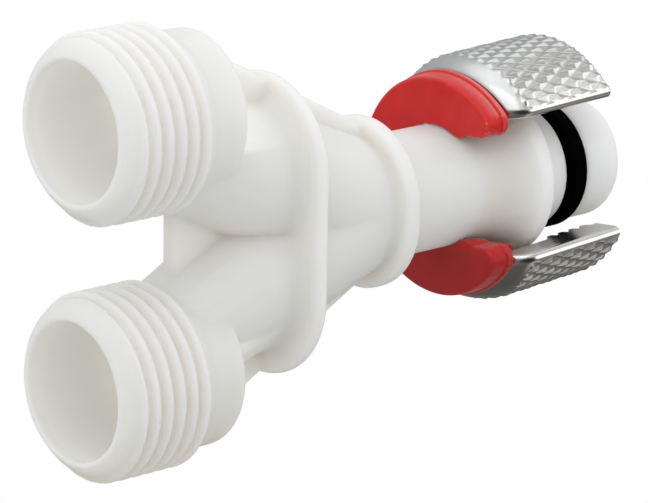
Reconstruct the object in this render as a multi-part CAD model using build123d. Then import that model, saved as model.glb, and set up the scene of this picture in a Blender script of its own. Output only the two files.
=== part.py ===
from build123d import *
import math
import os

# Two-way hose splitter with a quick-grip inlet, all sizes in millimetres.
# +X runs along the inlet, from the outlet mouths (about x = 0) to the inlet nose.
# The two outlets are stacked along Z. Everything is drawn with X counted from the
# mouths, then moved by -ORIGIN_X, so the finished origin is on the inlet axis, in
# the middle of the cylindrical part of the nose.
# In names, _R is a radius and _X0 and _X1 are the two ends along X.

# outlets: male 3/4 garden hose thread, 11.5 threads per inch
THREAD_PITCH = 25.4 / 11.5
THREAD_CREST_R = 13.40
THREAD_ROOT_R = 12.10
THREAD_BASE_R = THREAD_ROOT_R - 0.15     # ridge is sunk this deep to fuse with the core
THREAD_HALF_BASE = THREAD_PITCH * 0.47
THREAD_HALF_CREST = 0.50
THREAD_CREST_DROP = 0.34                 # height of the rounded crest
THREAD_START_X = 1.19
THREAD_TURNS = 6.15
THREAD_CHAMFER_X = 2.2    # 45 degree chamfer passes through (this x, MOUTH_R)
OUTLET_Z = 18.16
MOUTH_X = 0.24            # foremost point of the mouth
MOUTH_EDGE_R = 10.16
MOUTH_R = 12.2            # the lip slopes back to this radius
MOUTH_END_X = 2.6
OUTLET_BORE_R = 9.82
OUTLET_BORE_END_X = 17.0
BORE_CONE_LENGTH = 2.0
BORE_CONE_DROP = 3.0      # radius lost along the cone at the end of the bore
NECK_R = 11.50
NECK_END_X = 22.4

# oblique legs that lead from the outlets to the inlet
LEG_R = 9.6
LEG_START_R = 7.6         # legs swell from the outlet to full size at LEG_FULL_X
LEG_START_X = 10.0
LEG_FULL_X = 30.0
LEG_MEET_X = 51.2
LEG_SLOPE = 0.405
LEG_BORE_R = 5.6
LEG_BORE_X0 = LEG_START_X + 2.5

# flat web in the plane of the two outlets; it stands proud outside the legs
WEB_T = 3.2
WEB_FRONT_X = 17.35
WEB_EDGE_X0 = 20.6
WEB_EDGE_Z0 = 28.2
WEB_EDGE_X1 = 51.5
WEB_EDGE_Z1 = 12.1
WEB_ROUND = 1.1

# stadium-shaped plate across both legs
PLATE_X0 = 33.9
PLATE_X1 = 35.9
PLATE_R = 12.95
PLATE_HALF_STRAIGHT = 8.85
PLATE_RIM_ROUND = 0.9
PLATE_ROOT_ROUND = 2.2

# collar at the end of the legs, and the concave turned root that leads to it
COLLAR_X0 = 52.0
COLLAR_X1 = 54.7
COLLAR_R = 11.5
COLLAR_HALF_STRAIGHT = 1.06
COLLAR_RIM_ROUND = 0.7
COLLAR_ROOT_X0 = 48.4
COLLAR_ROOT_X1 = COLLAR_X0 + 0.3
COLLAR_ROOT_R = 9.15
COLLAR_ROOT_RISE = 2.1
COLLAR_ROOT_STEPS = 7

# barrel, flare, stop flange, plug and nose of the inlet
BARREL_R = 9.00
FLARE_X0 = 69.6
FLARE_STATIONS = (0.0, 0.2, 0.4, 0.55, 0.68, 0.79, 0.88, 0.95, 1.0)  # fractions of its length
FLANGE_X0 = 78.0
FLANGE_X1 = 80.6
FLANGE_R = 12.3
FLARE_END_R = FLANGE_R - 0.2
PLUG_R = 9.05
GROOVE_X0 = 86.30
GROOVE_X1 = 90.40
GROOVE_R = 7.06
NOSE_R = 8.95
NOSE_END_X = 98.0
NOSE_ROUND = 2.0
NOSE_STEPS = 8
ORIGIN_X = (GROOVE_X1 + NOSE_END_X - NOSE_ROUND) / 2
INLET_BORE_R = 5.45
NOSE_BEVEL = 0.9          # radius added to the bore just past the nose end

# sealing ring on the nose; its section is an oblong with round corners
RING_X0 = 86.92
RING_X1 = 90.36
RING_R0 = 7.10
RING_R1 = 9.55
RING_ROUND = 1.05

# gripping arms and their hinges, drawn for the upper arm lying parallel to the inlet
CLOCK_DEG = 5.35          # arms are turned about the inlet axis by this much
HINGE_X = 71.8
HINGE_Z = 11.0
PIN_R = 1.00
PIN_HALF_LEN = 8.7
PIN_CHAMFER = 0.15
PIN_HOLE_R = PIN_R + 0.05
LUG_HALF_W = 1.7
LUG_R = 2.05
LUG_FOOT_Z = 7.5
LUG_CLEAR_R = INLET_BORE_R + 1.2   # lugs are cut back to here, clear of the waterway

# each arm as posed: name, side of its block's skirt, opening in degrees,
# and half turn about the inlet axis
ARMS = [
    ("upper", 1, 2.3, 0),
    ("lower", -1, -3.4, 180),
]

# pressed stainless shell of an arm; D-shaped across X, with the flat towards the inlet
SHELL_R = 16.1
SHELL_CENTRE_Z = 2.1
SHELL_T = 0.7
SHELL_X0 = 71.5
SHELL_X1 = 91.6
SHELL_BAND_X = 75.6       # the smooth rear band swells up to full size here
SHELL_REAR_R = 14.45
SHELL_SHOULDER_X = SHELL_X0 + 1.9
SHELL_SHOULDER_R = SHELL_R - 0.42
SHELL_FLAT_Z = 9.9
SHELL_CORNER_R = 0.95
SHELL_INNER_CORNER_R = SHELL_CORNER_R - SHELL_T + 0.1
SHELL_REAR_SLOPE = 0.12   # the rear edge leans to +X towards the lower corners

# turned-in lower edges of the shell, plain at the rear and toothed at the nose end
PLAIN_EDGE_Y = 8.90
TOOTH_TIP_Y = 7.60
TOOTH_ROOT_Y = 8.55
TOOTH_X0 = 82.2
TOOTH_COUNT = 4
TOOTH_PITCH = THREAD_PITCH
TOOTH_OUTLINE = [         # x from the start of the tooth, y
    (0.25, TOOTH_ROOT_Y), (0.75, TOOTH_TIP_Y), (1.55, TOOTH_TIP_Y), (2.0, TOOTH_ROOT_Y),
]

# red release block of an arm
BLOCK_X0 = 67.6
BLOCK_X1 = 75.2
BLOCK_R = 15.5
BLOCK_R1 = 15.75          # slight draft from the BLOCK_X0 face to the bead
BLOCK_CENTRE_Z = 0.62
BLOCK_FLAT_Z = 7.95
BLOCK_CORNER_R = 2.0
BLOCK_EDGE_ROUND = 0.5
SKIRT_Z = 5.8             # one side reaches further down beside the barrel
SKIRT_INNER_Y = 5.0
SKIRT_CORNER_R = 0.9
BEAD_X0 = 70.35
BEAD_X1 = 71.35
BEAD_H = 0.3
BEAD_ROUND = 0.25
SADDLE_GAP = 0.55
SADDLE_FLARE_GAP = SADDLE_GAP + 0.25
SADDLE_FLARE_STATIONS = (71.5, 73.0, 74.2, 75.2, 76.5)
TONGUE_X0 = BEAD_X1 - 0.5
TONGUE_INSET = SHELL_T + 0.10            # from the outside of the shell
TONGUE_CORNER_R = 0.9
KEEL_Z = 9.1              # middle of the tongue, between the shell's turned-in edges
KEEL_TOP_Z = 12.0
KEEL_HALF_W = 8.2
POCKET_X = (69.0, BLOCK_X1 + 0.5)
POCKET_Y = (-2.2, 4.4)
POCKET_Z = (5.0, 13.4)

# torsion spring on each hinge pin
SPRING_WIRE_R = 0.30
SPRING_MEAN_R = 1.75
SPRING_TURNS = 2.5
SPRING_PITCH = 0.64
SPRING_LEG = 2.3
SPRING_SEAT_Y = LUG_HALF_W + 0.55


# --- helpers ---------------------------------------------------------------

def cyl_x(x0, x1, radius):
    """Cylinder on the X axis from x0 to x1."""
    align = (Align.CENTER, Align.CENTER, Align.MIN)
    return Pos(x0, 0, 0) * Rot(0, 90, 0) * Cylinder(radius, x1 - x0, align=align)


def bar(start, end, radius, end_radius=None):
    """Round bar between two points, tapered where end_radius is given."""
    along = end - start
    align = (Align.CENTER, Align.CENTER, Align.MIN)
    if end_radius is None:
        rod = Cylinder(radius, along.length, align=align)
    else:
        rod = Cone(radius, end_radius, along.length, align=align)
    return Plane(origin=start, z_dir=along) * rod


def box_between(x_span, y_span, z_span):
    """Box given by its (low, high) limits on each axis."""
    spans = (x_span, y_span, z_span)
    centre = [(low + high) / 2 for low, high in spans]
    return Pos(*centre) * Box(*[high - low for low, high in spans])


def face_xz(points):
    """Face in the XZ plane from (x, z) points."""
    return make_face(Polyline(*[Vector(x, 0, z) for x, z in points], close=True))


def turned(points):
    """Solid of revolution about the X axis from (x, radius) points."""
    return revolve(face_xz(points), Axis.X, 360)


def slab(points, half_width):
    """Outline of (x, z) points, extruded to both sides along Y."""
    return extrude(face_xz(points), half_width, dir=(0, 1, 0), both=True)


def edges_at_x(shape, *stations):
    """Edges whose centre lies at one of the given x."""
    return [e for e in shape.edges() if any(abs(e.center().X - x) < 0.01 for x in stations)]


def fillet_or_keep(shape, edges, radius):
    """Round the edges; guards against a failed fillet by keeping the shape sharp."""
    try:
        return fillet(edges, radius)
    except Exception:
        return shape


def rounded_stadium(x0, x1, radius, half_straight, rim_round):
    """Stadium across X, long side along Z, with rounded rims."""
    end = cyl_x(x0, x1, radius)
    shape = Pos(0, 0, half_straight) * end + Pos(0, 0, -half_straight) * end
    shape += box_between((x0, x1), (-radius, radius), (-half_straight, half_straight))
    return fillet_or_keep(shape, edges_at_x(shape, x0, x1), rim_round)


def hinge_cylinder(radius, length):
    """Cylinder on the hinge axis of the upper arm, centred on y = 0."""
    return Pos(HINGE_X, 0, HINGE_Z) * Rot(90, 0, 0) * Cylinder(radius, length)


def solid_of(shape):
    """Largest solid of a result."""
    return max(shape.solids(), key=lambda s: s.volume)


CLOCK = Rot(-CLOCK_DEG, 0, 0)


# --- white moulded body ----------------------------------------------------

def make_thread():
    """Rounded helical thread about the X axis."""
    helix = Helix(THREAD_PITCH, THREAD_PITCH * THREAD_TURNS, THREAD_ROOT_R)
    start = helix @ 0
    # section in a plane through the axis: local x radial, local y axial
    section_plane = Plane(
        origin=(0, 0, start.Z), x_dir=(start.X, start.Y, 0), z_dir=(-start.Y, start.X, 0))
    base_low = (THREAD_BASE_R, -THREAD_HALF_BASE)
    crest_low = (THREAD_CREST_R - THREAD_CREST_DROP, -THREAD_HALF_CREST)
    crest = (THREAD_CREST_R, 0.0)
    crest_high = (THREAD_CREST_R - THREAD_CREST_DROP, THREAD_HALF_CREST)
    base_high = (THREAD_BASE_R, THREAD_HALF_BASE)
    with BuildSketch(section_plane) as section:
        with BuildLine():
            Line(base_low, crest_low)
            ThreePointArc(crest_low, crest, crest_high)
            Line(crest_high, base_high)
            Line(base_high, base_low)
        make_face()
    thread = sweep(section.sketch, path=helix, is_frenet=True)
    thread = Pos(THREAD_START_X, 0, 0) * Rot(0, 90, 0) * thread
    # the first turn is chamfered at 45 degrees, in line with the lip
    thread -= turned([
        (-2.0, MOUTH_R - 1.2),
        (THREAD_CHAMFER_X - 1.2, MOUTH_R - 1.2),
        (THREAD_CHAMFER_X + 2.0, MOUTH_R + 2.0),
        (THREAD_CHAMFER_X + 2.0, MOUTH_R + 3.0),
        (-2.0, MOUTH_R + 3.0),
    ])
    return solid_of(thread)


def make_outlet_core():
    """Mouth ring, thread root and neck as one turned shape."""
    return turned([
        (MOUTH_X, 0.0),
        (MOUTH_X, MOUTH_EDGE_R),
        (MOUTH_X + 0.04, MOUTH_EDGE_R + 0.14),
        (MOUTH_X + 0.12, MOUTH_EDGE_R + 0.26),
        (1.42, 11.62),
        (1.66, 11.86),
        (1.92, 12.05),
        (2.22, MOUTH_R),
        (MOUTH_END_X - 0.1, MOUTH_R),
        (MOUTH_END_X + 0.2, THREAD_ROOT_R),
        (15.6, THREAD_ROOT_R),
        (16.2, NECK_R + 0.15),
        (17.0, NECK_R),
        (NECK_END_X - 0.8, NECK_R),
        (NECK_END_X - 0.25, NECK_R - 0.3),
        (NECK_END_X, NECK_R - 0.9),
        (NECK_END_X, 0.0),
    ])


def leg_point(x, side):
    """Point on the axis of the leg on the +Z or -Z side."""
    return Vector(x, 0, side * LEG_SLOPE * (LEG_MEET_X - x))


def make_leg(side):
    """Oblique leg: a slow cone up to LEG_FULL_X, then a round bar."""
    full = leg_point(LEG_FULL_X, side)
    cone = bar(leg_point(LEG_START_X, side), full, LEG_START_R, LEG_R)
    return cone + bar(full, leg_point(LEG_MEET_X, side), LEG_R)


def make_web():
    """Flat web with its outer edges rounded."""
    web = slab([
        (WEB_FRONT_X, -9.5), (WEB_FRONT_X, 9.5), (18.3, 15.0), (WEB_EDGE_X0, 17.0),
        (WEB_EDGE_X0, WEB_EDGE_Z0), (WEB_EDGE_X1, WEB_EDGE_Z1),
        (WEB_EDGE_X1, -WEB_EDGE_Z1), (WEB_EDGE_X0, -WEB_EDGE_Z0),
        (WEB_EDGE_X0, -17.0), (18.3, -15.0),
    ], WEB_T / 2)
    edges = [e for e in web.edges() if abs(e.center().Y) > WEB_T / 2 - 0.01
             and (abs(e.center().X - WEB_FRONT_X) < 0.01 or abs(e.center().Z) > 17.5)]
    return fillet(edges, WEB_ROUND)


def flare_radius(x):
    """Radius of the concave flare between barrel and stop flange."""
    t = (x - FLARE_X0) / (FLANGE_X0 - FLARE_X0)
    return BARREL_R + (FLARE_END_R - BARREL_R) * (0.35 * t * t + 0.65 * t ** 4)


def make_inlet_core():
    """Collar root, barrel, flare, flange, plug, groove and nose turned about X."""
    points = [(COLLAR_ROOT_X0 - 3.0, 0.0), (COLLAR_ROOT_X0 - 3.0, 8.6)]
    for k in range(COLLAR_ROOT_STEPS + 1):
        angle = math.pi / 2 * k / COLLAR_ROOT_STEPS
        points.append((COLLAR_ROOT_X0 + (COLLAR_ROOT_X1 - COLLAR_ROOT_X0) * math.sin(angle),
                       COLLAR_ROOT_R + COLLAR_ROOT_RISE * (1 - math.cos(angle))))
    points += [
        (COLLAR_X1 - 0.9, 11.2),
        (COLLAR_X1 - 0.9, BARREL_R + 0.8),
        (COLLAR_X1 - 0.1, BARREL_R + 0.35),
        (COLLAR_X1 + 0.7, BARREL_R),
    ]
    for fraction in FLARE_STATIONS:
        x = FLARE_X0 + (FLANGE_X0 - FLARE_X0) * fraction
        points.append((x, flare_radius(x)))
    points += [
        (FLANGE_X0 + 0.15, FLANGE_R - 0.05),
        (FLANGE_X0 + 0.5, FLANGE_R),
        (FLANGE_X1 - 0.45, FLANGE_R),
        (FLANGE_X1 - 0.1, FLANGE_R - 0.15),
        (FLANGE_X1, FLANGE_R - 0.5),
        (FLANGE_X1, PLUG_R + 0.3),
        (FLANGE_X1 + 0.3, PLUG_R),
        (GROOVE_X0 - 0.2, PLUG_R),
        (GROOVE_X0, PLUG_R - 0.2),
        (GROOVE_X0, GROOVE_R),
        (GROOVE_X1, GROOVE_R),
        (GROOVE_X1, NOSE_R - 0.25),
        (GROOVE_X1 + 0.25, NOSE_R),
    ]
    for k in range(NOSE_STEPS + 1):
        angle = math.pi / 2 * k / NOSE_STEPS
        points.append((NOSE_END_X - NOSE_ROUND * (1 - math.sin(angle)),
                       NOSE_R - NOSE_ROUND * (1 - math.cos(angle))))
    points.append((NOSE_END_X, 0.0))
    return turned(points)


def make_lug():
    """Lug for the upper hinge, standing on the barrel, before clocking."""
    lug = slab([
        (HINGE_X - LUG_R, LUG_FOOT_Z), (HINGE_X - LUG_R, HINGE_Z),
        (HINGE_X + LUG_R, HINGE_Z), (HINGE_X + LUG_R + 0.4, LUG_FOOT_Z),
    ], LUG_HALF_W)
    lug += hinge_cylinder(LUG_R, 2 * LUG_HALF_W)
    return lug - cyl_x(HINGE_X - 6, HINGE_X + 6, LUG_CLEAR_R)


def cut_waterways(body):
    """Outlet bores, leg bores and inlet bore."""
    outlet_bore = cyl_x(-1, OUTLET_BORE_END_X, OUTLET_BORE_R)
    cone_x0 = OUTLET_BORE_END_X - 0.01
    cone_x1 = OUTLET_BORE_END_X + BORE_CONE_LENGTH
    bore_cone = turned([
        (cone_x0, 0.0), (cone_x0, OUTLET_BORE_R),
        (cone_x1, OUTLET_BORE_R - BORE_CONE_DROP), (cone_x1, 0.0),
    ])
    mouth = turned([
        (-0.5, 0.0),
        (-0.5, MOUTH_EDGE_R),
        (MOUTH_X, MOUTH_EDGE_R),
        (MOUTH_X + 0.05, MOUTH_EDGE_R - 0.16),
        (MOUTH_X + 0.16, MOUTH_EDGE_R - 0.28),
        (MOUTH_X + 0.36, OUTLET_BORE_R),
        (1.1, OUTLET_BORE_R),
        (1.1, 0.0),
    ])
    for side in (1, -1):
        at_outlet = Pos(0, 0, side * OUTLET_Z)
        body -= at_outlet * outlet_bore
        body -= at_outlet * bore_cone
        body -= bar(leg_point(LEG_BORE_X0, side), leg_point(LEG_MEET_X, side), LEG_BORE_R)
        body -= at_outlet * mouth
    body -= cyl_x(LEG_MEET_X - 2.0, NOSE_END_X + 1, INLET_BORE_R)
    body -= turned([
        (NOSE_END_X - 0.8, 0.0), (NOSE_END_X - 0.8, INLET_BORE_R),
        (NOSE_END_X + 0.1, INLET_BORE_R + NOSE_BEVEL), (NOSE_END_X + 0.1, 0.0),
    ])
    return body


def make_body():
    legs = make_leg(1) + make_leg(-1)
    body = legs + rounded_stadium(
        PLATE_X0, PLATE_X1, PLATE_R, PLATE_HALF_STRAIGHT, PLATE_RIM_ROUND)
    # curved edges where the legs run into the PLATE_X0 face
    roots = [e for e in body.edges() if e.geom_type != GeomType.LINE
             and abs(e.center().X - PLATE_X0) < 0.05
             and abs(e.bounding_box().max.X - PLATE_X0) < 0.01
             and abs(e.center().Y) < 9.8
             and e.length < 60
             and max(abs((e @ 0.5).Y), abs((e @ 0.5).Z)) < 17.5]
    body = fillet_or_keep(body, roots, PLATE_ROOT_ROUND)
    body += make_inlet_core()
    body += rounded_stadium(
        COLLAR_X0, COLLAR_X1, COLLAR_R, COLLAR_HALF_STRAIGHT, COLLAR_RIM_ROUND)
    body += make_web()
    outlet_core = make_outlet_core()
    for side in (1, -1):
        body += Pos(0, 0, side * OUTLET_Z) * outlet_core
    body = cut_waterways(body)
    lug = make_lug()
    pin_hole = hinge_cylinder(PIN_HOLE_R, 2 * LUG_HALF_W + 2)
    for turn_deg in (0, 180):
        body += CLOCK * Rot(turn_deg, 0, 0) * lug
        body -= CLOCK * Rot(turn_deg, 0, 0) * pin_hole
    thread = make_thread()
    for side in (1, -1):
        body += Pos(0, 0, side * OUTLET_Z) * thread
    return solid_of(body)


# --- sealing ring ----------------------------------------------------------

def make_ring():
    section = Pos((RING_X0 + RING_X1) / 2, 0, (RING_R0 + RING_R1) / 2) * Rot(90, 0, 0)
    section *= RectangleRounded(RING_X1 - RING_X0, RING_R1 - RING_R0, RING_ROUND)
    return solid_of(revolve(section, Axis.X, 360))


# --- one arm, drawn as the upper arm at zero opening -----------------------

def d_section(x, radius, flat_z, corner):
    """D-shaped face across X: an arc over a flat, with rounded lower corners."""
    half = math.sqrt(radius * radius - (flat_z - SHELL_CENTRE_Z) ** 2)
    left = Vector(x, -half, flat_z)
    right = Vector(x, half, flat_z)
    arc = ThreePointArc(left, Vector(x, 0, SHELL_CENTRE_Z + radius), right)
    face = make_face(arc + Line(right, left))
    return fillet(face.vertices(), corner)


def d_solid(stations, flat_z, corner):
    """Solid through D sections at (x, radius) stations."""
    result = None
    for (x0, radius0), (x1, radius1) in zip(stations[:-1], stations[1:]):
        face0 = d_section(x0, radius0, flat_z, corner)
        if radius0 == radius1:
            piece = extrude(face0, x1 - x0, dir=(1, 0, 0))
        else:
            piece = loft([face0, d_section(x1, radius1, flat_z, corner)])
        result = piece if result is None else result + piece
    return result


def make_shell():
    outer = d_solid([
        (SHELL_X0, SHELL_REAR_R),
        (SHELL_SHOULDER_X, SHELL_SHOULDER_R),
        (SHELL_BAND_X, SHELL_R),
        (SHELL_X1, SHELL_R),
    ], SHELL_FLAT_Z, SHELL_CORNER_R)
    inner = d_solid([
        (SHELL_X0 - 0.01, SHELL_REAR_R - SHELL_T),
        (SHELL_SHOULDER_X, SHELL_SHOULDER_R - SHELL_T),
        (SHELL_BAND_X, SHELL_R - SHELL_T),
        (SHELL_X1 + 0.01, SHELL_R - SHELL_T),
    ], SHELL_FLAT_Z + SHELL_T, SHELL_INNER_CORNER_R)
    shell = outer - inner
    # leaning rear edge
    top = SHELL_CENTRE_Z + SHELL_R + 1.0
    low = SHELL_FLAT_Z - 1.0
    crown = SHELL_CENTRE_Z + SHELL_REAR_R
    shell -= slab([
        (SHELL_X0 - 2, top),
        (SHELL_X0 + SHELL_REAR_SLOPE * (crown - top), top),
        (SHELL_X0 + SHELL_REAR_SLOPE * (crown - low), low),
        (SHELL_X0 - 2, low),
    ], 20.0)
    # open underside between the turned-in edges
    edge = [
        (SHELL_X0 - 1, PLAIN_EDGE_Y), (TOOTH_X0 - 0.8, PLAIN_EDGE_Y), (TOOTH_X0, TOOTH_ROOT_Y),
    ]
    for k in range(TOOTH_COUNT):
        edge += [(TOOTH_X0 + k * TOOTH_PITCH + x, y) for x, y in TOOTH_OUTLINE]
    edge.append((SHELL_X1 + 1, TOOTH_ROOT_Y))
    outline = edge + [(x, -y) for x, y in reversed(edge)]
    opening = make_face(Polyline(*[Vector(x, y, low) for x, y in outline], close=True))
    shell -= extrude(opening, 3.0, dir=(0, 0, 1))
    return solid_of(shell)


def block_section(x, radius, side):
    """Outline of the block across X: an arc that reaches down as a skirt on one side."""
    near_half = math.sqrt(radius * radius - (BLOCK_FLAT_Z - BLOCK_CENTRE_Z) ** 2)
    far_half = math.sqrt(radius * radius - (SKIRT_Z - BLOCK_CENTRE_Z) ** 2)
    near = Vector(x, -side * near_half, BLOCK_FLAT_Z)
    far = Vector(x, side * far_half, SKIRT_Z)
    foot = Vector(x, side * SKIRT_INNER_Y, SKIRT_Z)
    step = Vector(x, side * SKIRT_INNER_Y, BLOCK_FLAT_Z)
    arc = ThreePointArc(near, Vector(x, 0, BLOCK_CENTRE_Z + radius), far)
    face = make_face(arc + Line(far, foot) + Line(foot, step) + Line(step, near))
    for corner, corner_radius in ((near, BLOCK_CORNER_R), (far, SKIRT_CORNER_R)):
        vertices = [v for v in face.vertices() if (Vector(v) - corner).length < 0.01]
        face = fillet(vertices, corner_radius)
    return face


def make_block(side):
    """Release block; its skirt reaches down on the +Y (1) or -Y (-1) side."""
    bead_width = BEAD_X1 - BEAD_X0
    outer = loft([
        block_section(BLOCK_X0, BLOCK_R, side),
        block_section(BEAD_X0, BLOCK_R1, side),
    ])
    outer += extrude(block_section(BEAD_X0, BLOCK_R1, side), bead_width, dir=(1, 0, 0))
    bead = extrude(block_section(BEAD_X0, BLOCK_R1 + BEAD_H, side), bead_width, dir=(1, 0, 0))
    bead = fillet_or_keep(bead, edges_at_x(bead, BEAD_X0, BEAD_X1), BEAD_ROUND)
    outer = fillet_or_keep(outer, edges_at_x(outer, BLOCK_X0), BLOCK_EDGE_ROUND)
    block = outer + bead
    # tongue held inside the shell, above its turned-in edges
    block += d_solid([
        (TONGUE_X0, SHELL_REAR_R - TONGUE_INSET),
        (SHELL_X0 + 0.1, SHELL_REAR_R - TONGUE_INSET),
        (SHELL_X0 + 2.0, SHELL_SHOULDER_R - TONGUE_INSET),
        (BLOCK_X1, SHELL_SHOULDER_R - TONGUE_INSET),
    ], SHELL_FLAT_Z + TONGUE_INSET, TONGUE_CORNER_R)
    # middle of the tongue reaches down between the shell's edges
    block += box_between(
        (TONGUE_X0, BLOCK_X1), (-KEEL_HALF_W, KEEL_HALF_W), (KEEL_Z, KEEL_TOP_Z))
    # saddle around the barrel and its flare
    saddle = [
        (BLOCK_X0 - 1, 0.0),
        (BLOCK_X0 - 1, BARREL_R + SADDLE_GAP),
        (FLARE_X0, BARREL_R + SADDLE_GAP),
    ]
    saddle += [(x, flare_radius(x) + SADDLE_FLARE_GAP) for x in SADDLE_FLARE_STATIONS]
    saddle.append((SADDLE_FLARE_STATIONS[-1], 0.0))
    block -= turned(saddle)
    # pocket for the body lug and the torsion spring
    block -= box_between(POCKET_X, POCKET_Y, POCKET_Z)
    # the hinge pin is a press fit in the block
    block -= hinge_cylinder(PIN_R, 2 * PIN_HALF_LEN)
    return solid_of(block)


def make_pin():
    pin = hinge_cylinder(PIN_R, 2 * PIN_HALF_LEN)
    return solid_of(chamfer(pin.edges().filter_by(GeomType.CIRCLE), PIN_CHAMFER))


def make_spring():
    """Torsion spring beside the lug: coils round the pin, with a straight leg at each end."""
    helix = Helix(SPRING_PITCH, SPRING_TURNS * SPRING_PITCH, SPRING_MEAN_R)
    start, end = helix @ 0, helix @ 1
    start_dir, end_dir = helix % 0, helix % 1
    tip = start - start_dir * SPRING_LEG
    lead_in = Line(tip, start)
    lead_out = Line(end, end + end_dir * SPRING_LEG)
    path = Wire([lead_in.edge(), helix.edge(), lead_out.edge()])
    section = Plane(origin=tip, z_dir=start_dir) * Circle(SPRING_WIRE_R)
    # coil axis along +Y; both legs point to -X, one above the pin and one below
    seat = Plane(origin=(HINGE_X, SPRING_SEAT_Y, HINGE_Z), x_dir=(0, 0, 1), z_dir=(0, 1, 0))
    return solid_of(seat * sweep(section, path=path))


def posed(shape, open_deg, turn_deg):
    """Swing a piece about its hinge, then turn it to its side of the body and clock it."""
    swing = Pos(HINGE_X, 0, HINGE_Z) * Rot(0, -open_deg, 0) * Pos(-HINGE_X, 0, -HINGE_Z)
    return CLOCK * Rot(turn_deg, 0, 0) * swing * shape


# --- assembly and export ---------------------------------------------------

nodes = {"y_body": make_body(), "inlet_o_ring": make_ring()}
shared_pieces = {
    "grip_shell": make_shell(),
    "hinge_pin": make_pin(),
    "return_spring": make_spring(),
}
for arm, skirt_side, open_deg, turn_deg in ARMS:
    pieces = dict(shared_pieces, release_block=make_block(skirt_side))
    for name, shape in pieces.items():
        nodes[arm + "_" + name] = posed(shape, open_deg, turn_deg)

os.makedirs("parts", exist_ok=True)
for name, shape in nodes.items():
    solid = solid_of(Pos(-ORIGIN_X, 0, 0) * shape)
    solid.label = name
    export_step(solid, "parts/" + name + ".step")
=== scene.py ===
"""White Y-shaped fitting: two outlets at -x, one above the other, and one inlet at +x.

Hinged arms above and below the inlet each carry a red release block and a knurled steel shell.
The inlet axis is the x axis; the arms are turned a little about it.
"""
import bmesh
import bpy
import math
import numpy as np
from mathutils import Matrix, Vector

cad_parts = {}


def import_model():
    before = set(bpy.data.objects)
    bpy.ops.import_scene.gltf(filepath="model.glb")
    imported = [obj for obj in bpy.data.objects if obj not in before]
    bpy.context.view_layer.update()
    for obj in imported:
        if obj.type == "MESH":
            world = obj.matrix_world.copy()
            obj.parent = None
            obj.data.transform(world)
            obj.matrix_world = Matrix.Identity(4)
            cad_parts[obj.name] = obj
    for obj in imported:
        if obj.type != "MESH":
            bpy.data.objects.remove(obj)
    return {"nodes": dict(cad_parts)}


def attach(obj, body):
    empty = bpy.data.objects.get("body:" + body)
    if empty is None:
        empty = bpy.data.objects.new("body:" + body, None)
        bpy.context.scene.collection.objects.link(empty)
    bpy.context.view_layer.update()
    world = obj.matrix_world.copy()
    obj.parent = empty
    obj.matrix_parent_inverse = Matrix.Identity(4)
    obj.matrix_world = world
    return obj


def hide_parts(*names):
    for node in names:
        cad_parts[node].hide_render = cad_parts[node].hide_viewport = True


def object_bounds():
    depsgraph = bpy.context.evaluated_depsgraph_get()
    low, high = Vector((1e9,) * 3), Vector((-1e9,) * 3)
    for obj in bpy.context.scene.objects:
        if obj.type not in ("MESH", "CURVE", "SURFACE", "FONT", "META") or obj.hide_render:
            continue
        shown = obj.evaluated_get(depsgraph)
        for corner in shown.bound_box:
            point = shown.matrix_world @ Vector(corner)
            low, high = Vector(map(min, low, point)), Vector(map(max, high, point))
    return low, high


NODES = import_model()["nodes"]
CAD_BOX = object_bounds()
MM = 0.001

# Mesh dimensions are in millimetres in the drawing frame, whose x starts at the outlet mouths;
# ORIGIN_X moves them into the row frame. Materials, floor and camera use metres in the row frame.
ORIGIN_X = 93.2
CLOCK_DEG = 5.35                  # turn of both arms about the inlet axis
HINGE_X, HINGE_Z = 71.8, 11.0

scene = bpy.context.scene
scene.view_settings.view_transform = "Standard"
scene.view_settings.look = "None"
scene.view_settings.exposure = 0.0
scene.view_settings.gamma = 1.0


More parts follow.
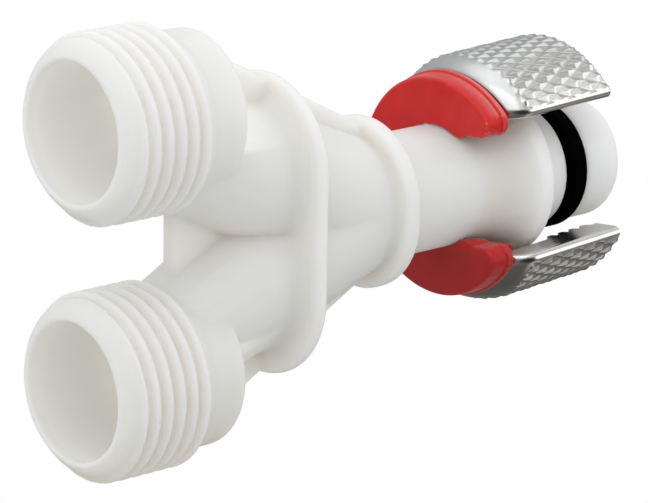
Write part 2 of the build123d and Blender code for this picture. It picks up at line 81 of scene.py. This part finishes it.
# ---------------------------------------------------------------- helpers
class Tree:
    """Short way to build the node tree of a material or world."""

    def __init__(self, owner):
        owner.use_nodes = True
        self.owner = owner
        self.nodes, self.links = owner.node_tree.nodes, owner.node_tree.links
        self.nodes.clear()

    def add(self, kind, inputs=None, **props):
        node = self.nodes.new("ShaderNode" + kind)
        for key, value in props.items():
            setattr(node, key, value)
        for key, value in (inputs or {}).items():
            self.put(node, key, value)
        return node

    def put(self, node, key, value):
        """Link a node or socket to an input, or set the input's value."""
        if isinstance(value, bpy.types.Node):
            value = value.outputs[0]
        if isinstance(value, bpy.types.NodeSocket):
            self.links.new(value, node.inputs[key])
        else:
            node.inputs[key].default_value = value

    def coords(self):
        return self.add("TexCoord").outputs["Object"]

    def math(self, operation, a, b=0.0, c=0.0):
        return self.add("Math", {0: a, 1: b, 2: c}, operation=operation).outputs[0]

    def dot(self, vector, direction):
        return self.add("VectorMath", {0: vector, 1: direction},
                        operation="DOT_PRODUCT").outputs["Value"]

    def ramp(self, value, *stops):
        """Colour ramp; each stop is (position, grey level or RGB)."""
        node = self.add("ValToRGB", {0: value})
        elements = node.color_ramp.elements
        while len(elements) < len(stops):
            elements.new(0.5)
        for element, (position, color) in zip(elements, stops):
            element.position = position
            element.color = (*color, 1.0) if isinstance(color, tuple) else (*[color] * 3, 1.0)
        return node.outputs[0]

    def mix(self, factor, under, over, amount=None):
        """Colour mix; amount, if given, multiplies the factor."""
        if amount is not None:
            factor = self.math("MULTIPLY", factor, amount)
        node = self.add("Mix", data_type="RGBA")
        for key, value in ((0, factor), (6, under), (7, over)):
            self.put(node, key, (*value, 1.0) if isinstance(value, tuple) else value)
        return node.outputs[2]

    def noise(self, vector, scale, detail=3.0, rough=0.5, warp=0.0):
        return self.add("TexNoise", {"Vector": vector, "Scale": scale, "Detail": detail,
                                     "Roughness": rough, "Distortion": warp}).outputs[0]

    def mapped(self, vector, scale, turn=(0, 0, 0)):
        return self.add("Mapping", {"Vector": vector, "Scale": scale, "Rotation": turn}).outputs[0]

    def smooth(self, value, start, end, low=0.0, high=1.0):
        """Smooth step from low at start to high at end."""
        return self.add("MapRange", {0: value, 1: start, 2: end, 3: low, 4: high},
                        interpolation_type="SMOOTHSTEP").outputs[0]

    def bump(self, height, strength, distance, over=None):
        node = self.add("Bump", {"Height": height, "Strength": strength, "Distance": distance})
        if over is not None:
            self.put(node, "Normal", over)
        return node.outputs[0]

    def finish(self, shader, output="OutputMaterial"):
        self.add(output, {0: shader})
        return self.owner


def paint(obj, material):
    obj.data.materials.clear()
    obj.data.materials.append(material)


def link_object(name, data):
    obj = bpy.data.objects.new(name, data)
    scene.collection.objects.link(obj)
    return obj


def mount(obj, arm, node):
    """Fix a piece to its arm in place of the CAD node."""
    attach(obj, arm)
    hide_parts(node)


# ---------------------------------------------------------------- materials
OUTLET_AXIS_Z = 0.01816           # height of each outlet axis above or below the inlet axis
WALL_GLOW = 0.225                 # emission strength inside the outlets


def painted_outlet_glow(tree, x, y, z):
    """Painted glow: emission inside the two outlets stands in for daylight coming through their thin
    wall.
    """
    off_axis = tree.math("SUBTRACT", tree.math("ABSOLUTE", z), OUTLET_AXIS_Z)
    radius = tree.math("SQRT", tree.math("ADD", tree.math("MULTIPLY", y, y),
                                         tree.math("MULTIPLY", off_axis, off_axis)))
    inside = tree.math("MULTIPLY",
                       tree.smooth(radius, start=0.0094, end=0.01005, low=1.0, high=0.0),
                       tree.smooth(x, start=-0.0925, end=-0.0905))
    inside = tree.math("MULTIPLY", inside,
                       tree.smooth(x, start=-0.076, end=-0.060, low=1.0, high=0.0))
    return tree.math("MULTIPLY", inside, WALL_GLOW)


def white_acetal():
    """Milky moulded plastic: faint flow mottling, fine grain, light through thin edges; a painted
    glow inside the outlets, painted light at the inlet end, painted shade low on the outlet half, in
    the flare's throat and in hollows.
    """
    tree = Tree(bpy.data.materials.new("white_acetal"))
    coords = tree.coords()
    flow = tree.noise(tree.mapped(coords, scale=(60, 140, 140)),
                      scale=1.0, detail=4.0, rough=0.55, warp=0.4)
    cloud = tree.noise(coords, scale=900.0, detail=2.0)
    tone = tree.mix(tree.ramp(flow, (0.25, 0.0), (0.75, 1.0)),
                    under=(0.770, 0.775, 0.762), over=(0.790, 0.796, 0.785))
    tone = tree.mix(cloud, tone, over=(0.74, 0.74, 0.70), amount=0.10)
    # painted light: whiter at the inlet end; painted shade low on the outlet half and in the throat
    # of the flare
    x, y, z = tree.add("SeparateXYZ", {0: coords}).outputs
    tone = tree.mix(tree.smooth(x, start=-0.0170, end=-0.0140, high=0.5),
                    tone, over=(0.845, 0.86, 0.875))
    # painted shade: darker towards the bottom of the outlet half
    tone = tree.mix(tree.smooth(z, start=-0.012, end=0.002, low=0.36, high=0.0),
                    tone, over=(0.66, 0.66, 0.64),
                    amount=tree.smooth(x, start=-0.046, end=-0.036, low=1.0, high=0.0))
    # painted shade: a warm darker band in the throat of the flare
    tone = tree.mix(tree.smooth(x, start=-0.0262, end=-0.0215), tone, over=(0.69, 0.64, 0.57),
                    amount=tree.smooth(x, start=-0.0205, end=-0.0155, low=0.5, high=0.0))
    # painted shade: corners and hollows are tinted warmer and darker by ambient occlusion
    openness = tree.add("AmbientOcclusion", {"Distance": 0.010}, samples=4).outputs["AO"]
    tone = tree.mix(tree.smooth(openness, start=0.30, end=0.88, low=0.60, high=0.0),
                    tone, over=(0.84, 0.78, 0.70))
    rough = tree.ramp(tree.noise(coords, scale=260.0, rough=0.6), (0.3, 0.36), (0.7, 0.47))
    grain = tree.noise(coords, scale=5200.0, detail=2.0, rough=0.6)
    wave = tree.noise(tree.mapped(coords, scale=(220, 420, 420)), scale=1.0, detail=2.0)
    normal = tree.bump(wave, strength=0.16, distance=0.00025,
                       over=tree.bump(grain, strength=0.06, distance=0.00004))
    return tree.finish(tree.add("BsdfPrincipled", {
        "Base Color": tone, "Roughness": rough, "Normal": normal, "IOR": 1.48,
        "Subsurface Weight": 1.0, "Subsurface Radius": (1.0, 0.96, 0.86),
        "Subsurface Scale": 0.0048, "Specular IOR Level": 0.36,
        "Emission Color": (1.0, 0.975, 0.88, 1.0),
        "Emission Strength": painted_outlet_glow(tree, x, y, z)}))


def nitrile():
    """Black O-ring rubber with a faint bloom and fine moulding grain."""
    tree = Tree(bpy.data.materials.new("nitrile_rubber"))
    coords = tree.coords()
    bloom = tree.noise(coords, scale=420.0, detail=4.0, rough=0.6)
    tone = tree.mix(bloom, under=(0.0002, 0.0002, 0.0003), over=(0.0009, 0.0009, 0.0011))
    rough = tree.ramp(tree.noise(coords, scale=900.0, rough=0.6), (0.3, 0.55), (0.7, 0.78))
    normal = tree.bump(tree.noise(coords, scale=3800.0, rough=0.65),
                       strength=0.25, distance=0.00003)
    return tree.finish(tree.add("BsdfPrincipled", {
        "Base Color": tone, "Roughness": rough, "Normal": normal,
        "IOR": 1.5, "Specular IOR Level": 0.012}))


def red_plastic():
    """Slightly translucent red moulding: uneven pigment, painted highlights on the edges and the
    crown, painted shade on the lower side, soft sheen, fine scuffs.
    """
    tree = Tree(bpy.data.materials.new("red_plastic"))
    coords = tree.coords()
    geometry = tree.add("NewGeometry").outputs
    cloud = tree.noise(coords, scale=230.0, detail=4.0, rough=0.55, warp=0.3)
    tone = tree.mix(tree.ramp(cloud, (0.3, 0.0), (0.7, 1.0)),
                    under=(0.57, 0.007, 0.008), over=(0.67, 0.014, 0.013))
    # painted highlight: convex edges are paler orange-red
    tone = tree.mix(tree.smooth(geometry["Pointiness"], start=0.507, end=0.545),
                    tone, over=(0.80, 0.15, 0.11), amount=0.60)
    x, _, z = tree.add("SeparateXYZ", {0: coords}).outputs
    # painted highlight: the crown of the upper block is paler towards the shell, in streaks
    facing = tree.dot(geometry["Normal"], direction=(0.12, -0.50, 0.86))
    crown_highlight = tree.math("MULTIPLY", tree.smooth(facing, start=0.78, end=0.985),
                      tree.smooth(z, start=0.008, end=0.011))
    crown_highlight = tree.math("MULTIPLY", crown_highlight, tree.smooth(x, start=-0.0252, end=-0.0226))
    highlight_streaks = tree.ramp(tree.noise(tree.mapped(coords, scale=(2200, 420, 420)),
                                scale=1.0, rough=0.6), (0.3, 0.22), (0.7, 0.48))
    tone = tree.mix(crown_highlight, tone, over=(0.80, 0.43, 0.39), amount=highlight_streaks)
    # painted shade: a darker red on the lower side
    tone = tree.mix(tree.smooth(z, start=-0.010, end=-0.004, low=0.55, high=0.0),
                    tone, over=(0.19, 0.003, 0.008))
    # duller to diffuse rays, so that little red spills onto the white plastic
    bounce = tree.add("LightPath").outputs["Is Diffuse Ray"]
    tone = tree.mix(bounce, tone, over=(0.15, 0.10, 0.09), amount=0.8)
    scuff = tree.noise(tree.mapped(coords, scale=(900, 180, 900), turn=(0.3, 0.2, 0.4)),
                       scale=1.0, detail=4.0, rough=0.7)
    rough = tree.ramp(scuff, (0.3, 0.30), (0.7, 0.44))
    grain = tree.noise(coords, scale=3600.0, detail=2.0, rough=0.6)
    wave = tree.noise(coords, scale=350.0, detail=2.0)
    normal = tree.bump(grain, strength=0.10, distance=0.00004,
                       over=tree.bump(wave, strength=0.12, distance=0.0002))
    return tree.finish(tree.add("BsdfPrincipled", {
        "Base Color": tone, "Roughness": rough, "Normal": normal, "IOR": 1.47,
        "Subsurface Weight": 0.10, "Subsurface Radius": (1.0, 0.15, 0.1),
        "Subsurface Scale": 0.0012, "Specular IOR Level": 0.32, "Sheen Weight": 0.20,
        "Sheen Roughness": 0.45, "Sheen Tint": (1.0, 0.86, 0.84, 1.0)}))


def steel(name, brush, tint, smoothest, roughest):
    """Steel with streaked tone and roughness, and fine pits; brush is the streak scale on x, y, z."""
    tree = Tree(bpy.data.materials.new(name))
    coords = tree.coords()
    streak = tree.noise(tree.mapped(coords, scale=brush), scale=1.0, detail=5.0, rough=0.62)
    blot = tree.noise(coords, scale=260.0, rough=0.55)
    tone = tree.mix(tree.ramp(blot, (0.3, 0.0), (0.7, 1.0)),
                    under=tuple(0.90 * c for c in tint), over=tint)
    tone = tree.mix(streak, tone, over=tuple(0.72 * c for c in tint), amount=0.22)
    rough = tree.ramp(streak, (0.25, smoothest), (0.75, roughest))
    pits = tree.noise(coords, scale=5200.0, detail=2.0)
    normal = tree.bump(pits, strength=0.05, distance=0.00003,
                       over=tree.bump(streak, strength=0.10, distance=0.00003))
    return tree.finish(tree.add("BsdfPrincipled", {
        "Base Color": tone, "Roughness": rough, "Normal": normal, "Metallic": 1.0}))


WHITE = white_acetal()
RUBBER = nitrile()
RED = red_plastic()
SHEET = steel("stainless_sheet", brush=(300, 2600, 2600), tint=(0.80, 0.79, 0.775),
              smoothest=0.17, roughest=0.27)
PIN = steel("steel_pin", brush=(2600, 500, 2600), tint=(0.66, 0.66, 0.66),
            smoothest=0.22, roughest=0.34)
WIRE = steel("spring_wire", brush=(1800, 1800, 1800), tint=(0.60, 0.60, 0.59),
             smoothest=0.25, roughest=0.38)

# part of a node's name, its material; the first match counts
NODE_MATERIALS = (("y_body", WHITE), ("inlet_o_ring", RUBBER), ("block", RED),
                  ("pin", PIN), ("spring", WIRE), ("", SHEET))
for node_name, node in NODES.items():
    paint(node, next(material for part, material in NODE_MATERIALS if part in node_name))


# ---------------------------------------------------------------- softened mouldings
def soften(obj, voxel, rounds):
    """Moulded corners are soft: the mesh is resampled evenly and relaxed."""
    resample = obj.modifiers.new("resample", "REMESH")
    resample.mode = "VOXEL"
    resample.voxel_size = voxel * MM
    resample.use_smooth_shade = True
    relax = obj.modifiers.new("relax", "SMOOTH")
    relax.factor = 0.5
    relax.iterations = rounds


soften(NODES["y_body"], voxel=0.30, rounds=8)
for side in ("upper", "lower"):
    soften(NODES[side + "_release_block"], voxel=0.12, rounds=3)

# ---------------------------------------------------------------- release blocks
BARREL_R = 9.0
FLARE_X, FLARE_LENGTH = 69.6, 8.4
FLARE_R, FLARE_INSET = 12.3, 0.2
SEAT_FADE_X, SEAT_FADE_LENGTH = 69.0, 3.6      # where the drawing-in fades out along x


def barrel_radius(x):
    along = np.clip((x - FLARE_X) / FLARE_LENGTH, 0, 1)
    return BARREL_R + (FLARE_R - FLARE_INSET - BARREL_R) * (0.35 * along * along + 0.65 * along ** 4)


def seated_block(node, name, reach, power):
    """The softened block, its saddle drawn in to the barrel up to `reach` from its surface."""
    depsgraph = bpy.context.evaluated_depsgraph_get()
    depsgraph.update()
    mesh = bpy.data.meshes.new_from_object(NODES[node].evaluated_get(depsgraph))
    flat = np.empty(len(mesh.vertices) * 3, np.float32)
    mesh.vertices.foreach_get("co", flat)
    points = flat.reshape(-1, 3).astype(float) / MM
    x = points[:, 0] + ORIGIN_X
    radius = np.hypot(points[:, 1], points[:, 2])
    barrel = barrel_radius(x)
    drawn = barrel + reach * np.clip((radius - barrel) / reach, 0, 1) ** power
    weight = 1 - np.clip((x - SEAT_FADE_X) / SEAT_FADE_LENGTH, 0, 1)
    weight = weight * weight * (3 - 2 * weight) * ((radius > barrel) & (radius < barrel + reach))
    points[:, 1:] *= (1 + weight * (drawn / radius - 1))[:, None]
    mesh.vertices.foreach_set("co", (points * MM).astype(np.float32).ravel())
    mesh.update()
    block = link_object(name, mesh)
    paint(block, RED)
    return block


for side, reach, power in (("upper", 1.6, 2.3), ("lower", 2.2, 3.0)):
    block = seated_block(side + "_release_block", side + "_soft_release_block", reach, power)
    mount(block, side + "_arm", side + "_release_block")

# ---------------------------------------------------------------- gripping shells
# D-shaped section: a main arc of radius SHELL_R, rounded corners, and a flat underside open
# in the middle. Front is +x.
SHELL_R, SHELL_CENTRE_Z, SHELL_WALL = 16.1, 2.1, 0.7
SHELL_REAR_X, SHELL_BAND_X = 71.5, 75.6        # the radius grows between these
SHELL_REAR_R, SHELL_FLAT_Z, SHELL_CORNER_R = 14.45, 9.9, 0.95
INNER_CORNER_R = SHELL_CORNER_R - SHELL_WALL + 0.1
REAR_SLOPE = 0.12
FRONT_LEAN = 0.35                              # forward reach of the front edge's lower corners
END_TRIM, END_TRIM_LENGTH = 0.08, 0.10         # bevel of the two end faces
END_CLEAR = 0.12                               # no other station this close to the front
MIN_STATION_GAP = 0.03

# Half opening under the shell: plain at the rear, thread-pitch teeth at the front
PLAIN_EDGE_Y, TOOTH_ROOT_Y, TOOTH_TIP_Y = 8.90, 8.55, 7.60
TOOTH_X0, TEETH_LIMIT_X, THREAD_PITCH = 82.2, 91.4, 25.4 / 11.5
# x from the start of the tooth, half opening
TOOTH = ((0.25, TOOTH_ROOT_Y), (0.75, TOOTH_TIP_Y), (1.55, TOOTH_TIP_Y), (2.0, TOOTH_ROOT_Y))

KNURL_A, KNURL_B = 2.2, 1.04      # half diagonals of a knurl cell, along x and round the shell
KNURL_HEIGHT, KNURL_SINK = 0.34, 0.10
KNURL_START_X = (74.15, 74.75)    # the knurl fades in here along x
KNURL_END_S = (15.15, 15.6)       # and out here, by distance round the arc from the top

# side, front end x, opening angle, knurl origin x and distance round the arc
SHELLS = (("upper", 91.15, 2.3, 76.95, -11.05), ("lower", 92.1, -3.4, 80.6, 13.55))


def posed(points, open_deg, lower):
    """Drawn arm points swung about the hinge, turned to their side and clocked; metres out."""
    swing = math.radians(-open_deg)
    c, s = math.cos(swing), math.sin(swing)
    x, y, z = points[:, 0] - HINGE_X, points[:, 1], points[:, 2] - HINGE_Z
    x, z = c * x + s * z + HINGE_X, -s * x + c * z + HINGE_Z
    if lower:
        y, z = -y, -z
    clock = math.radians(-CLOCK_DEG)
    c, s = math.cos(clock), math.sin(clock)
    return np.stack([x - ORIGIN_X, c * y - s * z, s * y + c * z], -1) * MM


def smoothstep(start, end, value):
    along = np.clip((value - start) / (end - start), 0, 1)
    return along * along * (3 - 2 * along)


def shell_radius(x):
    along = np.clip((x - SHELL_REAR_X) / (SHELL_BAND_X - SHELL_REAR_X), 0, 1)
    return SHELL_REAR_R + (SHELL_R - SHELL_REAR_R) * (1 - (1 - along) ** 2.2)


def edge_outline():
    """The x places and half openings of the lower edge."""
    points = [(SHELL_REAR_X - 2, PLAIN_EDGE_Y), (TOOTH_X0 - 0.8, PLAIN_EDGE_Y),
              (TOOTH_X0, TOOTH_ROOT_Y)]
    x = TOOTH_X0
    while x + THREAD_PITCH < TEETH_LIMIT_X:
        points += [(x + step, y) for step, y in TOOTH]
        x += THREAD_PITCH
    return np.array(points + [(95.0, TOOTH_ROOT_Y)]).T


def shell_stations(x_front, knurl_x, step, edge_x):
    """Section places along x: the knurl grid, the tooth corners and the two ends."""
    last = x_front - END_CLEAR
    places = [x for x in np.arange(knurl_x - 4 * KNURL_A, last, step) if x > SHELL_REAR_X + 0.2]
    places += [SHELL_REAR_X, SHELL_REAR_X + 0.07]
    places += [x for x in edge_x if SHELL_REAR_X < x < last]
    places.sort()
    kept = places[:1]
    for x in places[1:]:
        if x - kept[-1] > MIN_STATION_GAP:
            kept.append(x)
    return np.array(kept + [x_front - END_TRIM_LENGTH, x_front])


def corner_angle(radius, flat_z, corner_r):
    """Angle from the top at which the main arc meets the corner arc."""
    return math.acos((flat_z + corner_r - SHELL_CENTRE_Z) / (radius - corner_r))


def main_arc(radius, angles):
    return np.stack([radius * np.sin(angles), SHELL_CENTRE_Z + radius * np.cos(angles)], -1)


def foot(edge, radius, flat_z, corner_r, flat_steps, corner_steps):
    """+y side from the opening's edge along the flat and round the corner, short of the arc."""
    meet = corner_angle(radius, flat_z, corner_r)
    corner_y = (radius - corner_r) * math.sin(meet)
    angles = np.linspace(math.pi, meet, corner_steps + 1)[:-1]
    corner = np.stack([corner_y + corner_r * np.sin(angles),
                       flat_z + corner_r + corner_r * np.cos(angles)], -1)
    flat_y = np.linspace(edge, corner_y, flat_steps + 1)[:-1]
    return np.concatenate([np.stack([flat_y, np.full(flat_steps, flat_z)], -1), corner])


def knurl_lift(x, around, knurl_x, knurl_s):
    """Rows of four-sided pyramids, every other row shifted by half a cell."""
    u = (x - knurl_x) / KNURL_A
    v = (around - knurl_s) / KNURL_B
    p, q = (u + v) / 2, (u - v) / 2
    off_peak = np.maximum(np.abs(p - np.round(p)), np.abs(q - np.round(q))) * 2
    pyramid = 1.0 - np.clip(off_peak * 1.05, 0, 1) ** 1.3
    mask = smoothstep(*KNURL_START_X, x) * (1 - smoothstep(*KNURL_END_S, np.abs(around)))
    return mask * (KNURL_HEIGHT * pyramid - KNURL_SINK)


def shell_section(x, edge, trim, around, knurl_x, knurl_s):
    """Outer (y, z) outline from the -y edge to the +y edge, and the inner one back again."""
    radius = float(shell_radius(x)) - trim
    edge += trim
    flat_z, corner_r = SHELL_FLAT_Z + trim, SHELL_CORNER_R - trim
    arc = main_arc(radius, around / around[-1] * corner_angle(radius, flat_z, corner_r))
    swell = 1 + knurl_lift(x, around, knurl_x, knurl_s) / radius
    arc = np.stack([arc[:, 0] * swell,
                    SHELL_CENTRE_Z + (arc[:, 1] - SHELL_CENTRE_Z) * swell], -1)
    side = foot(edge, radius, flat_z, corner_r, flat_steps=5, corner_steps=12)
    outer = np.concatenate([side * [-1, 1], arc, side[::-1]])
    wall = SHELL_WALL - 2 * trim
    radius, flat_z = radius - wall, flat_z + wall
    meet = corner_angle(radius, flat_z, INNER_CORNER_R)
    side = foot(edge, radius, flat_z, INNER_CORNER_R, flat_steps=3, corner_steps=5)
    arc = main_arc(radius, np.linspace(meet, -meet, 61))
    return outer, np.concatenate([side, arc, side[::-1] * [-1, 1]])


def end_face(ring, n_outer, base, flip):
    """Triangles joining the outer outline to the inner one, both walked from -y to +y."""
    walks = (list(range(n_outer)), list(range(len(ring) - 1, n_outer - 1, -1)))
    shares = []
    for walk in walks:
        steps = np.linalg.norm(np.diff(ring[walk][:, 1:], axis=0), axis=1)
        run = np.concatenate([[0], np.cumsum(steps)])
        shares.append(run / run[-1])
    (outer, inner), (outer_share, inner_share) = walks, shares
    i = j = 0
    faces = []
    while i < len(outer) - 1 or j < len(inner) - 1:
        if j == len(inner) - 1 or (i < len(outer) - 1 and outer_share[i + 1] <= inner_share[j + 1]):
            face = (base + outer[i], base + outer[i + 1], base + inner[j])
            i += 1
        else:
            face = (base + outer[i], base + inner[j + 1], base + inner[j])
            j += 1
        faces.append(face[::-1] if flip else face)
    return faces


def shell_mesh(name, vertices, faces):
    mesh = bpy.data.meshes.new(name)
    mesh.from_pydata(vertices, [], faces)
    mesh.validate()
    bm = bmesh.new()
    bm.from_mesh(mesh)
    bmesh.ops.recalc_face_normals(bm, faces=bm.faces)
    if bm.calc_volume(signed=True) < 0:
        bmesh.ops.reverse_faces(bm, faces=bm.faces)
    bm.to_mesh(mesh)
    bm.free()
    mesh.polygons.foreach_set("use_smooth", [True] * len(mesh.polygons))
    mesh.set_sharp_from_angle(angle=math.radians(38))
    return mesh


def make_shell(name, x_front, open_deg, lower, knurl_x, knurl_s):
    cell_steps = 12
    edge_x, edge_y = edge_outline()
    stations = shell_stations(x_front, knurl_x, KNURL_A / cell_steps, edge_x)
    # distances round the main arc from the top, on the knurl grid
    end = corner_angle(SHELL_R, SHELL_FLAT_Z, SHELL_CORNER_R) * SHELL_R
    step = KNURL_B / cell_steps
    first = math.ceil((-end + 0.02 - knurl_s) / step)
    last = math.floor((end - 0.02 - knurl_s) / step)
    around = np.concatenate([[-end], knurl_s + step * np.arange(first, last + 1), [end]])
    rings = []
    for i, x in enumerate(stations):
        trim = END_TRIM if i in (0, len(stations) - 1) else 0.0
        edge = float(np.interp(x, edge_x, edge_y))
        outer, inner = shell_section(x, edge, trim, around, knurl_x, knurl_s)
        y, z = np.concatenate([outer, inner]).T
        rear = np.clip((SHELL_BAND_X - x) / (SHELL_BAND_X - SHELL_REAR_X), 0, 1)
        xs = x + REAR_SLOPE * (SHELL_CENTRE_Z + SHELL_REAR_R - z) * rear
        xs += FRONT_LEAN * smoothstep(13.6, 10.4, z) * smoothstep(88.0, x_front, x)
        rings.append(np.stack([xs, y, z], -1))
    rings = np.array(rings)
    m, n = rings.shape[:2]
    i, j = np.meshgrid(np.arange(m - 1), np.arange(n), indexing="ij")
    j2 = (j + 1) % n
    quads = np.stack([i * n + j, (i + 1) * n + j, (i + 1) * n + j2, i * n + j2], -1)
    faces = quads.reshape(-1, 4).tolist()
    faces += end_face(rings[0], len(outer), 0, False)
    faces += end_face(rings[-1], len(outer), (m - 1) * n, True)
    vertices = posed(rings.reshape(-1, 3), open_deg, lower).tolist()
    shell = link_object(name, shell_mesh(name, vertices, faces))
    paint(shell, SHEET)
    return shell


for side, x_front, open_deg, knurl_x, knurl_s in SHELLS:
    shell = make_shell(side + "_knurled_shell", x_front, open_deg, side == "lower",
                       knurl_x, knurl_s)
    mount(shell, side + "_arm", side + "_grip_shell")

# ---------------------------------------------------------------- stage
FLOOR_HALF, FLOOR_GAP = 4.0, 0.0002


def floor_paint():
    """White to the camera from above, clear to every other ray."""
    tree = Tree(bpy.data.materials.new("floor_paint"))
    camera_ray = tree.add("LightPath").outputs["Is Camera Ray"]
    behind = tree.add("NewGeometry").outputs["Backfacing"]
    glow = tree.add("Emission", {"Color": (1, 1, 1, 1), "Strength": 1.0})
    clear = tree.add("BsdfTransparent")
    seen = tree.math("MULTIPLY", camera_ray, tree.math("SUBTRACT", 1.0, behind))
    return tree.finish(tree.add("MixShader", {0: seen, 1: clear, 2: glow}))


floor_mesh = bpy.data.meshes.new("studio_floor")
floor_mesh.from_pydata([(x * FLOOR_HALF, y * FLOOR_HALF, CAD_BOX[0].z - FLOOR_GAP)
                        for x, y in ((-1, -1), (1, -1), (1, 1), (-1, 1))], [], [(0, 1, 2, 3)])
floor = link_object("studio_floor", floor_mesh)
floor_mesh.materials.append(floor_paint())

# ---------------------------------------------------------------- studio light
# What glossy rays see, by height (0 straight down, 1 straight up): height, colour
ROOM = ((0.0, (0.085, 0.085, 0.08)), (0.12, (0.11, 0.108, 0.10)), (0.32, (0.21, 0.205, 0.19)),
        (0.46, (0.17, 0.168, 0.16)), (0.54, (0.22, 0.22, 0.215)), (0.72, (0.38, 0.38, 0.375)),
        (0.88, (0.66, 0.68, 0.68)), (0.97, (1.10, 1.14, 1.16)))
# Round patches in that room: direction, full and fade-out angles (degrees), colour, amount
PATCHES = (
    ((-0.25, -0.96, 0.02), 22, 48, (0.012, 0.014, 0.016), None),
    ((0.66, -0.72, 0.25), 10, 27, (1.75, 1.72, 1.70), None),
    ((0.76, 0.02, 0.66), 7, 20, (1.0, 0.99, 0.98), 0.30),
    ((0.38, 0.86, 0.36), 16, 38, (0.54, 0.58, 0.58), 0.6),
    ((0.33, -0.45, 0.83), 6, 17, (0.26, 0.255, 0.24), 0.60),
    ((0.85, -0.30, 0.45), 5, 15, (1.35, 1.34, 1.32), None),
    ((0.46, -0.48, -0.75), 8, 24, (0.50, 0.49, 0.47), None),
)
# What other rays are lit by, an even tent a little weaker from below: height, colour
TENT = ((0.0, (0.50, 0.495, 0.48)), (0.22, (0.66, 0.655, 0.64)), (0.45, (0.83, 0.83, 0.825)),
        (0.75, (1.0, 1.0, 1.005)), (1.0, (1.09, 1.09, 1.10)))

world = bpy.data.worlds.new("studio")
scene.world = world
tree = Tree(world)
rays = tree.add("LightPath").outputs
direction = tree.add("TexCoord").outputs["Generated"]
rise = tree.add("SeparateXYZ", {0: direction}).outputs[2]
height = tree.math("MULTIPLY_ADD", rise, 0.5, 0.5)
room = tree.ramp(height, *ROOM)
for centre, full, fade, color, amount in PATCHES:
    nearness = tree.dot(direction, tuple(Vector(centre).normalized()))
    patch = tree.smooth(nearness, start=math.cos(math.radians(fade)),
                        end=math.cos(math.radians(full)))
    room = tree.mix(patch, room, color, amount)
seen = tree.mix(rays["Is Glossy Ray"], tree.ramp(height, *TENT), room)
seen = tree.mix(rays["Is Camera Ray"], seen, over=(1.0, 1.0, 1.0))
tree.finish(tree.add("Background", {"Color": seen, "Strength": 1.0}), output="OutputWorld")

# ---------------------------------------------------------------- camera and key light
AZIMUTH, ELEVATION, ROLL = (math.radians(a) for a in (-42.12331, 15.39467, 0.79352))
DISTANCE = 0.598066
TARGET = Vector((-0.0467904, 0.0, -0.0062547))
KEY_OFFSET = Vector((-0.30, -0.25, 0.55))      # key light from the target

back = Vector((math.sin(AZIMUTH) * math.cos(ELEVATION),
               -math.cos(AZIMUTH) * math.cos(ELEVATION), math.sin(ELEVATION)))
right = (-back).cross(Vector((0, 0, 1))).normalized()
up = right.cross(-back)
rolled_right = math.cos(ROLL) * right + math.sin(ROLL) * up
rolled_up = -math.sin(ROLL) * right + math.cos(ROLL) * up
lens = bpy.data.cameras.new("photo_camera")
lens.sensor_width = 36.0
lens.lens = 233.34
lens.clip_start, lens.clip_end = 0.01, 20.0
camera = link_object("photo_camera", lens)
pose = Matrix((rolled_right, rolled_up, back)).transposed().to_4x4()
pose.translation = TARGET + back * DISTANCE
camera.matrix_world = pose
scene.camera = camera

lamp = bpy.data.lights.new("key", "AREA")
lamp.shape = "RECTANGLE"
lamp.size = lamp.size_y = 0.45
lamp.energy = 0.35
key = link_object("key", lamp)
key.location = TARGET + KEY_OFFSET
key.rotation_mode = "QUATERNION"
key.rotation_quaternion = (TARGET - (TARGET + KEY_OFFSET)).to_track_quat("-Z", "Y")
